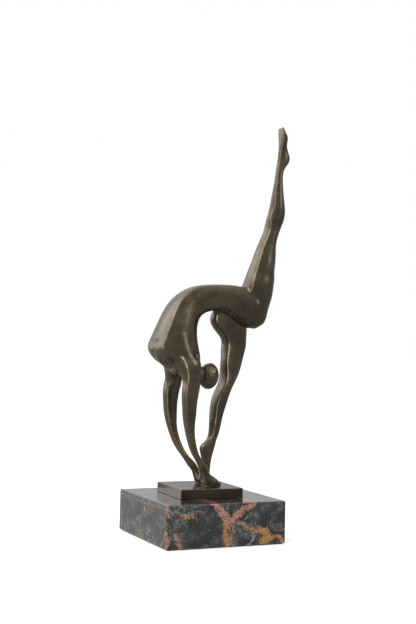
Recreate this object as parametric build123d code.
from build123d import *

import os
from math import sqrt

# Bronze statuette: a gymnast in a one-legged back bend, on a bronze plate bolted to a marble block.
# Millimetres, +Z up, origin at the centre of the underside. +X is the way the gymnast's hips face,
# and the bend lies in the XZ plane, so the gymnast's right side is towards -Y.

# Marble block, felt and bronze plate
BLOCK_SIDE = 120.0
BLOCK_HEIGHT = 39.0
BLOCK_EDGE = 0.9
FELT_THICKNESS = 1.0
FELT_MARGIN = 2.0
PLATE_SIDE = 63.0
PLATE_HEIGHT = 9.3
PLATE_EDGE = 0.5
PLATE_X, PLATE_Y = -0.8, 1.6
PLATE_TURN = -1.9  # degrees; the plate sits a little out of square on the block

# M6 fastening of the plate to the block; threads are plain cylinders at their nominal diameter
STUD_SPACING = 30.0
STUD_RADIUS = 3.0
TAPPED_DEPTH = 6.5
STUD_HOLE_RADIUS = 3.5
COUNTERBORE_RADIUS = 11.0
COUNTERBORE_DEPTH = 12.0
WASHER_RADIUS = 9.0
WASHER_HOLE_RADIUS = 3.2
WASHER_THICKNESS = 1.6
NUT_ACROSS_FLATS = 10.0
NUT_HEIGHT = 5.0
STUD_BEYOND_NUT = 1.5

# Dowels that line the castings up while they are welded
DOWEL_RADIUS = 1.5
DOWEL_END_GAP = 0.3
CLEARANCE = 0.02  # radial, round the dowels and the studs' threads

BLOCK_TOP = FELT_THICKNESS + BLOCK_HEIGHT
PLATE_TOP = BLOCK_TOP + PLATE_HEIGHT
MIDLINE = 2.0  # y of the plane that the gymnast's spine lies in

# The castings are drawn as sections. Each row is one: the middle of its flat face (x, z), the point
# opposite (x, z), the y of its centre, half the flat face's width and half the whole width. A limb's
# row ends with its skew: how far the ridge on the +Y or outer side is ahead of the middle (x, z).

# From the right side of the pelvis, over the arch, to the top of the breastbone
TORSO = [
    ((50.0, 233.5), (49.0, 206.0), -1.5, 10.0, 17.0),
    ((41.0, 238.9), (39.5, 202.0), 0.5, 12.0, 19.6),
    ((31.0, 240.9), (30.5, 208.5), 1.2, 11.5, 17.6),
    ((20.5, 241.8), (20.5, 215.0), 1.6, 10.5, 15.0),
    ((10.0, 241.6), (10.5, 216.5), 2.0, 10.5, 13.2),
    ((-1.0, 240.7), (2.0, 214.5), 2.0, 11.0, 13.0),
    ((-11.5, 238.6), (-3.5, 211.0), 2.0, 12.0, 13.6),
    ((-21.0, 234.1), (-7.0, 205.5), 2.0, 13.0, 14.6),
    ((-29.8, 226.0), (-8.6, 198.5), 2.0, 14.5, 16.2),
    ((-37.3, 213.8), (-8.6, 190.5), 2.0, 16.5, 18.6),
    ((-43.2, 200.0), (-7.4, 183.0), 2.0, 18.0, 20.6),
    ((-48.6, 187.0), (-5.4, 175.5), 2.0, 19.3, 21.8),
    ((-50.8, 177.5), (-4.2, 168.0), 2.0, 19.3, 21.5),
    ((-46.5, 169.5), (-6.0, 161.5), 2.0, 15.0, 18.5),
    ((-38.5, 163.0), (-11.0, 156.5), 2.0, 10.0, 13.0),
]

# From the toes of the raised leg down to the right buttock
RAISED_LEG = [
    ((74.5, 401.6), (77.2, 401.0), -7.0, 5.0, 5.5, (0, 0)),
    ((74.9, 395.0), (80.4, 395.0), -7.0, 5.5, 6.2, (0, 0)),
    ((74.6, 387.5), (82.1, 387.5), -7.0, 3.9, 5.2, (0, 0)),
    ((73.8, 379.5), (82.9, 379.5), -7.0, 2.2, 3.8, (0, 0)),
    ((72.8, 370.0), (85.4, 369.0), -7.0, 1.9, 3.6, (0, 0)),
    ((71.9, 364.0), (81.6, 362.8), -7.0, 1.8, 3.5, (0, 0)),
    ((70.9, 357.0), (78.7, 356.5), -7.0, 1.9, 3.5, (0, 0)),
    ((69.8, 347.5), (78.2, 346.5), -7.0, 2.2, 4.2, (0, 0)),
    ((68.6, 339.5), (78.8, 338.0), -7.0, 2.6, 5.0, (0, 0)),
    ((67.0, 329.5), (80.0, 328.0), -7.0, 3.1, 6.0, (0, 0)),
    ((64.9, 317.5), (81.0, 315.5), -7.0, 3.6, 6.8, (0, 0)),
    ((62.5, 308.0), (78.4, 305.0), -7.0, 4.4, 6.9, (0, 0)),
    ((61.5, 298.5), (74.0, 295.0), -7.0, 5.9, 7.0, (-0.8, 0)),
    ((57.7, 289.0), (71.1, 284.5), -7.5, 6.1, 7.4, (-0.8, 0)),
    ((53.5, 279.0), (70.8, 274.0), -7.5, 6.6, 8.2, (-0.8, 0)),
    ((50.0, 269.5), (69.9, 263.5), -8.0, 7.2, 9.2, (-0.8, 0)),
    ((46.7, 260.0), (69.3, 253.0), -8.0, 8.2, 10.2, (-0.8, 0)),
    ((43.4, 250.0), (68.7, 243.0), -8.0, 9.2, 11.2, (-0.8, 0)),
    ((40.4, 240.0), (67.4, 232.5), -7.5, 9.6, 12.0, (-0.8, 0)),
    ((38.5, 229.0), (64.6, 221.5), -7.0, 7.0, 12.1, (0, 0)),
    ((37.5, 218.5), (61.8, 210.0), -6.5, 6.0, 11.6, (0, 0)),
    ((38.0, 210.0), (57.3, 203.5), -6.0, 5.0, 9.5, (0, 0)),
    ((39.5, 203.5), (51.5, 199.0), -5.5, 3.5, 6.0, (0, 0)),
]

# From the toes of the standing leg up to the left buttock; its flat face is the back of the leg
STANDING_LEG = [
    ((3.0, PLATE_TOP), (8.4, PLATE_TOP), 2.2, 2.8, 3.6, (0, 0)),
    ((3.0, 54.5), (8.6, 54.5), 2.4, 3.0, 3.8, (0, 0)),
    ((3.7, 62.0), (9.4, 62.0), 3.0, 3.0, 4.0, (-1.0, 0)),
    ((3.3, 70.0), (11.0, 71.0), 4.0, 2.8, 4.0, (-1.0, 0)),
    ((2.5, 79.0), (13.8, 80.0), 5.0, 2.6, 3.9, (-1.0, 0)),
    ((2.7, 86.5), (16.4, 87.0), 5.8, 2.4, 3.9, (-1.0, 0)),
    ((8.5, 91.5), (18.0, 92.5), 6.5, 2.8, 4.0, (-1.0, 0)),
    ((12.0, 97.5), (19.8, 98.0), 7.0, 3.6, 4.6, (-1.3, 0)),
    ((13.0, 104.5), (21.4, 105.0), 7.0, 4.4, 5.4, (-1.3, 0)),
    ((13.7, 112.5), (23.7, 114.5), 7.5, 5.2, 6.2, (-1.3, 0)),
    ((14.8, 121.0), (27.1, 124.0), 8.5, 5.9, 6.9, (-1.3, 0)),
    ((16.8, 130.5), (30.5, 133.5), 9.0, 6.2, 7.4, (-1.3, 0)),
    ((20.4, 139.0), (34.1, 142.0), 9.8, 6.2, 7.8, (-1.3, 0)),
    ((24.5, 147.5), (38.0, 149.5), 10.3, 6.2, 8.3, (-1.3, 0)),
    ((26.2, 156.0), (42.2, 158.5), 10.8, 6.2, 8.8, (-1.3, 0)),
    ((26.1, 166.0), (45.6, 168.0), 11.0, 6.2, 9.3, (-0.6, 0)),
    ((26.4, 176.0), (48.0, 177.5), 11.0, 6.2, 9.9, (-0.6, 0)),
    ((26.8, 185.0), (49.5, 187.0), 11.0, 6.3, 10.3, (-0.6, 0)),
    ((24.5, 192.0), (50.3, 196.0), 11.2, 6.5, 10.8, (0, 0)),
    ((20.5, 197.0), (50.8, 203.5), 11.5, 7.0, 11.4, (0, 0)),
    ((15.8, 203.0), (51.0, 211.0), 11.5, 7.0, 11.4, (0, 0)),
    ((13.4, 210.0), (51.0, 218.0), 11.0, 6.5, 11.0, (0, 0)),
    ((15.0, 217.0), (49.0, 224.5), 10.0, 5.5, 9.5, (0, 0)),
]

# From the fingertips up to the breast; y is measured outwards from the midline
ARM = [
    ((17.5, PLATE_TOP), (18.2, 52.2), 6.6, 3.2, 4.0, (0, 0)),
    ((13.0, PLATE_TOP), (14.4, 54.6), 8.0, 4.0, 4.8, (0, 0)),
    ((6.8, PLATE_TOP), (9.6, 57.8), 9.8, 4.5, 5.2, (0, 0)),
    ((1.2, 50.5), (5.4, 60.5), 10.6, 4.2, 5.0, (0, 0)),
    ((-1.0, 55.5), (3.4, 62.8), 11.4, 3.6, 4.5, (0, 0)),
    ((-3.6, 62.5), (1.6, 66.6), 12.4, 3.3, 4.2, (0, 0)),
    ((-9.8, 71.5), (-5.2, 74.5), 14.5, 3.6, 4.3, (0, 0)),
    ((-16.2, 80.8), (-11.4, 83.9), 16.8, 3.9, 4.6, (0, 0)),
    ((-21.2, 90.5), (-15.0, 93.9), 19.2, 4.1, 4.9, (0, 0)),
    ((-24.8, 101.0), (-16.8, 103.2), 21.0, 4.4, 5.3, (0, 0)),
    ((-27.2, 110.5), (-16.8, 112.5), 22.2, 4.8, 5.6, (0, 0)),
    ((-28.6, 120.0), (-16.4, 121.0), 23.0, 5.1, 6.0, (0, 0)),
    ((-29.3, 131.0), (-15.6, 131.0), 23.2, 5.6, 6.4, (0, 0)),
    ((-29.2, 141.0), (-13.8, 141.0), 23.0, 6.0, 6.8, (0, 0)),
    ((-28.2, 150.9), (-11.2, 152.0), 21.4, 6.6, 7.4, (-0.2, 1.1)),
    ((-29.8, 157.9), (-10.0, 163.5), 18.8, 9.9, 10.0, (0.4, 3.6)),
    ((-33.7, 163.8), (-13.5, 171.0), 14.6, 11.9, 9.4, (3.5, 4.0)),
    ((-42.5, 171.5), (-26.0, 182.0), 11.2, 10.6, 9.0, (3.2, 1.6)),
]

NECK = [
    ((-28.0, 164.5), (-22.0, 176.0), MIDLINE, 3.0, 6.2),
    ((-17.0, 154.5), (-10.5, 166.5), MIDLINE, 2.8, 5.8),
    ((-8.0, 149.5), (-2.5, 160.5), MIDLINE, 2.6, 5.4),
    ((0.0, 147.5), (5.0, 158.5), MIDLINE, 2.6, 5.2),
]
HEAD_CENTRE = (6.2, MIDLINE, 153.6)
HEAD_RADII = (9.8, 8.8, 12.5)
HEAD_TILT = 8.0

# Where each casting is cut from its neighbour: a point on the cut and the way towards the limb
RIGHT_HIP_CUT = ((53.0, -7.5, 246.0), (0.33, 0, 0.94))
LEFT_HIP_CUT = ((36.0, 11.0, 188.0), (0.05, 0, -1))
RIGHT_SHOULDER_CUT = ((-20.5, MIDLINE - 22.2, 149.0), (0, 0, -1))
LEFT_SHOULDER_CUT = ((-20.5, MIDLINE + 22.2, 149.0), (0, 0, -1))
NECK_CUT = ((-8.0, MIDLINE, 156.0), (0.8, 0, -0.6))
FOOT_BASE = ((5.7, 2.2, PLATE_TOP), (0, 0, 1))
RIGHT_HAND_BASE = ((7.5, MIDLINE - 9.6, PLATE_TOP), (0, 0, 1))
LEFT_HAND_BASE = ((7.5, MIDLINE + 9.6, PLATE_TOP), (0, 0, 1))
HIP_DOWEL_LENGTH = 16.0
SHOULDER_DOWEL_LENGTH = 12.0
NECK_DOWEL_LENGTH = 12.0
HAND_DOWEL_LENGTH = 8.0
FOOT_DOWEL_LENGTH = 12.0


def section(face, opposite, y, ridge, side, skew=(0, 0), outward=1):
    """One closed section: a nearly flat face from ridge to ridge, and a round back."""
    across = Vector(skew[0] / ridge, outward, skew[1] / ridge)
    depth = Vector(opposite[0] - face[0], 0, opposite[1] - face[1])
    start = Vector(face[0], y, face[1])

    def point(share, offset):
        return start + depth * share + across * offset

    flat = Spline(point(0, -ridge), point(-0.04, 0), point(0, ridge))
    waist = ridge + (side - ridge) * 0.75
    outline = [(0, ridge), (0.2, waist), (0.45, side), (0.75, side * 0.8), (0.93, side * 0.45), (1, 0)]
    outline += [(share, -offset) for share, offset in reversed(outline[:-1])]
    back = Spline(*[point(share, offset) for share, offset in outline])
    return Wire([flat, back])


def skin(rows):
    """A solid through the sections of one table."""
    return Solid.make_loft([section(*row) for row in rows])


def largest(shape):
    """The biggest solid of a shape that a cut has left in pieces."""
    return max(shape.solids(), key=lambda solid: solid.volume)


def arm_rows(side):
    """The arm's table for one side: -1 is the right arm, +1 the left."""
    return [(face, back, MIDLINE + side * out, *widths, side) for face, back, out, *widths in ARM]


def beyond(shape, cut):
    """The part of a shape on the limb's side of a cut."""
    return largest(split(shape, bisect_by=Plane(origin=cut[0], z_dir=cut[1]), keep=Keep.TOP))


def before(shape, cut):
    """The part of a shape on the torso's side of a cut."""
    return largest(split(shape, bisect_by=Plane(origin=cut[0], z_dir=cut[1]), keep=Keep.BOTTOM))


def dowel(cut, length):
    """A steel dowel square to a cut and centred on it, with a small lead at each end."""
    pin = Plane(origin=cut[0], z_dir=cut[1]) * Cylinder(DOWEL_RADIUS, length)
    return chamfer(pin.edges().filter_by(GeomType.CIRCLE), 0.3)


def dowel_hole(cut, length):
    """The hole that a dowel sits in, a little longer than the dowel at each end."""
    radius = DOWEL_RADIUS + CLEARANCE
    return Plane(origin=cut[0], z_dir=cut[1]) * Cylinder(radius, length + 2 * DOWEL_END_GAP)


def stud_places():
    """Where the two studs stand, in the plate's and the block's plan."""
    return [(PLATE_X - STUD_SPACING / 2, PLATE_Y), (PLATE_X + STUD_SPACING / 2, PLATE_Y)]


def marble_block():
    """The polished block, drilled for the studs and counterbored from below for their nuts."""
    block = Pos(0, 0, FELT_THICKNESS + BLOCK_HEIGHT / 2) * Box(BLOCK_SIDE, BLOCK_SIDE, BLOCK_HEIGHT)
    block = chamfer(block.edges(), BLOCK_EDGE)
    for x, y in stud_places():
        block -= Pos(x, y, FELT_THICKNESS + BLOCK_HEIGHT / 2) * Cylinder(STUD_HOLE_RADIUS, BLOCK_HEIGHT + 2)
        block -= Pos(x, y, FELT_THICKNESS + COUNTERBORE_DEPTH / 2) * Cylinder(
            COUNTERBORE_RADIUS, COUNTERBORE_DEPTH
        )
    return block


def felt():
    """The felt glued under the block; it hides the counterbores."""
    side = BLOCK_SIDE - 2 * FELT_MARGIN
    return Pos(0, 0, FELT_THICKNESS / 2) * Box(side, side, FELT_THICKNESS)


def plate():
    """The square bronze plate, tapped from below for the studs and drilled on top for the dowels."""
    body = fillet(Box(PLATE_SIDE, PLATE_SIDE, PLATE_HEIGHT).edges(), PLATE_EDGE)
    body = Pos(PLATE_X, PLATE_Y, BLOCK_TOP + PLATE_HEIGHT / 2) * Rot(0, 0, PLATE_TURN) * body
    for x, y in stud_places():
        body -= Pos(x, y, BLOCK_TOP + TAPPED_DEPTH / 2) * Cylinder(STUD_RADIUS + CLEARANCE, TAPPED_DEPTH)
    for base in (RIGHT_HAND_BASE, LEFT_HAND_BASE):
        body -= dowel_hole(base, HAND_DOWEL_LENGTH)
    return body - dowel_hole(FOOT_BASE, FOOT_DOWEL_LENGTH)


def washer_base():
    """Height of the counterbore's ceiling, that the washer bears on."""
    return FELT_THICKNESS + COUNTERBORE_DEPTH


def stud(x, y):
    """A threaded rod from the plate down through the block and its nut."""
    top = BLOCK_TOP + TAPPED_DEPTH
    bottom = washer_base() - WASHER_THICKNESS - NUT_HEIGHT - STUD_BEYOND_NUT
    rod_body = Pos(x, y, (top + bottom) / 2) * Cylinder(STUD_RADIUS, top - bottom)
    return chamfer(rod_body.edges().filter_by(GeomType.CIRCLE), 0.6)


def washer(x, y):
    """A large plain washer under the block's counterbore ceiling."""
    ring = Cylinder(WASHER_RADIUS, WASHER_THICKNESS) - Cylinder(WASHER_HOLE_RADIUS, WASHER_THICKNESS)
    return Pos(x, y, washer_base() - WASHER_THICKNESS / 2) * ring


def nut(x, y):
    """A hexagon nut, its corners cut back by the usual chamfer, on the stud's thread."""
    hexagon = extrude(RegularPolygon(NUT_ACROSS_FLATS / sqrt(3), 6), NUT_HEIGHT)
    barrel = chamfer(
        (Pos(0, 0, NUT_HEIGHT / 2) * Cylinder(NUT_ACROSS_FLATS / sqrt(3), NUT_HEIGHT))
        .edges().filter_by(GeomType.CIRCLE), 0.5
    )
    body = (hexagon & barrel) - Pos(0, 0, NUT_HEIGHT / 2) * Cylinder(STUD_RADIUS + CLEARANCE, NUT_HEIGHT)
    return Pos(x, y, washer_base() - WASHER_THICKNESS - NUT_HEIGHT) * body


def skull():
    """The egg of the skull, its narrow end down."""
    egg = scale(Sphere(1.0), by=HEAD_RADII)
    return Pos(*HEAD_CENTRE) * Rot(0, HEAD_TILT, 0) * egg


def head():
    """The skull and the outer part of the neck, hanging back between the arms."""
    body = beyond(skin(NECK), NECK_CUT) + skull()
    return body - dowel_hole(NECK_CUT, NECK_DOWEL_LENGTH)


def raised_leg():
    """The right leg, pointed straight up."""
    return beyond(skin(RAISED_LEG), RIGHT_HIP_CUT) - dowel_hole(RIGHT_HIP_CUT, HIP_DOWEL_LENGTH)


def standing_leg():
    """The left leg, on the very tips of its toes."""
    leg = beyond(skin(STANDING_LEG), LEFT_HIP_CUT)
    return leg - dowel_hole(LEFT_HIP_CUT, HIP_DOWEL_LENGTH) - dowel_hole(FOOT_BASE, FOOT_DOWEL_LENGTH)


def arm(side, shoulder_cut, hand_base):
    """One arm from the shoulder to the hand that lies on the plate."""
    body = beyond(beyond(skin(arm_rows(side)), shoulder_cut), hand_base)
    return body - dowel_hole(shoulder_cut, SHOULDER_DOWEL_LENGTH) - dowel_hole(hand_base, HAND_DOWEL_LENGTH)


def torso():
    """The chest, belly and pelvis, with the shoulders, the buttocks and the root of the neck."""
    body = skin(TORSO)
    body += before(skin(RAISED_LEG), RIGHT_HIP_CUT)
    body += before(skin(STANDING_LEG), LEFT_HIP_CUT)
    body += before(skin(arm_rows(-1)), RIGHT_SHOULDER_CUT)
    body += before(skin(arm_rows(1)), LEFT_SHOULDER_CUT)
    body += before(skin(NECK), NECK_CUT)
    for cut in (RIGHT_HIP_CUT, LEFT_HIP_CUT):
        body -= dowel_hole(cut, HIP_DOWEL_LENGTH)
    for cut in (RIGHT_SHOULDER_CUT, LEFT_SHOULDER_CUT):
        body -= dowel_hole(cut, SHOULDER_DOWEL_LENGTH)
    return body - dowel_hole(NECK_CUT, NECK_DOWEL_LENGTH)


left_stud, right_stud = stud_places()
pieces = {
    "marble_base": marble_block(),
    "felt_sheet": felt(),
    "plinth_plate": plate(),
    "stud_left": stud(*left_stud),
    "stud_right": stud(*right_stud),
    "washer_left": washer(*left_stud),
    "washer_right": washer(*right_stud),
    "nut_left": nut(*left_stud),
    "nut_right": nut(*right_stud),
    "torso": torso(),
    "head": head(),
    "arm_right": arm(-1, RIGHT_SHOULDER_CUT, RIGHT_HAND_BASE),
    "arm_left": arm(1, LEFT_SHOULDER_CUT, LEFT_HAND_BASE),
    "leg_raised": raised_leg(),
    "leg_standing": standing_leg(),
    "dowel_neck": dowel(NECK_CUT, NECK_DOWEL_LENGTH),
    "dowel_hip_right": dowel(RIGHT_HIP_CUT, HIP_DOWEL_LENGTH),
    "dowel_hip_left": dowel(LEFT_HIP_CUT, HIP_DOWEL_LENGTH),
    "dowel_shoulder_right": dowel(RIGHT_SHOULDER_CUT, SHOULDER_DOWEL_LENGTH),
    "dowel_shoulder_left": dowel(LEFT_SHOULDER_CUT, SHOULDER_DOWEL_LENGTH),
    "dowel_hand_right": dowel(RIGHT_HAND_BASE, HAND_DOWEL_LENGTH),
    "dowel_hand_left": dowel(LEFT_HAND_BASE, HAND_DOWEL_LENGTH),
    "dowel_foot": dowel(FOOT_BASE, FOOT_DOWEL_LENGTH),
}

os.makedirs("parts", exist_ok=True)
for name, shape in pieces.items():
    export_step(shape, f"parts/{name}.step")
